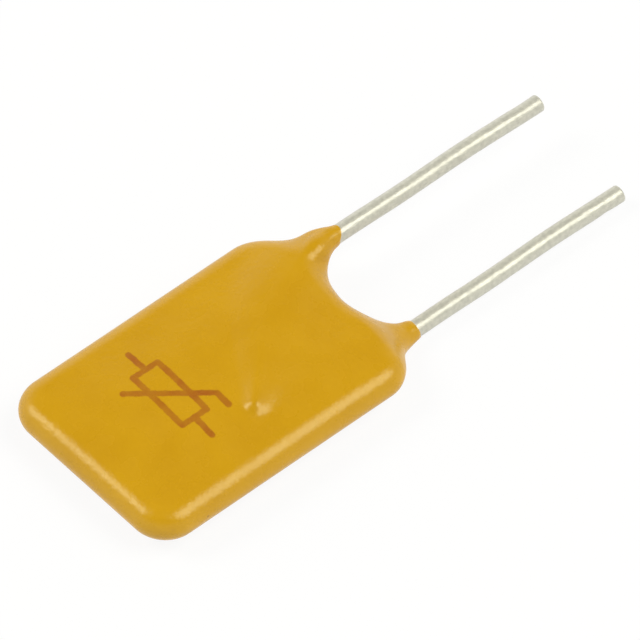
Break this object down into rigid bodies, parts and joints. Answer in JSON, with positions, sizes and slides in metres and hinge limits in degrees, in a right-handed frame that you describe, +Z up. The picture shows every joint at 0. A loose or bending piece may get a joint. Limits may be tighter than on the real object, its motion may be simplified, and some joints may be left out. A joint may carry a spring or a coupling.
{
  "type": "resettable fuse",
  "caption": "Resettable fuse: a flat coated body, rectangular with rounded corners, with two straight parallel wire leads, one from each face.",
  "frame": {"origin": "bottom centre of the whole part's box, as it lies on its back face", "axes": "+Y along the leads towards their cut ends, +X across the body from the front lead to the back lead, +Z up through the front face"},
  "size_m": [0.0102, 0.028, 0.0027],
  "materials": {
    "coating": "ochre dipped epoxy, satin gloss",
    "polymer": "black carbon-filled polymer",
    "foil": "nickel-faced foil, matt",
    "solder": "solder, smooth and dull",
    "tinned_wire": "tinned copper wire, drawn"
  },
  "bodies": {
    "root": {"epoxy_coating": "coating", "ptc_plate": "polymer", "front_foil": "foil", "back_foil": "foil", "front_solder": "solder", "back_solder": "solder", "front_lead": "tinned_wire", "back_lead": "tinned_wire"}
  },
  "joints": []
}
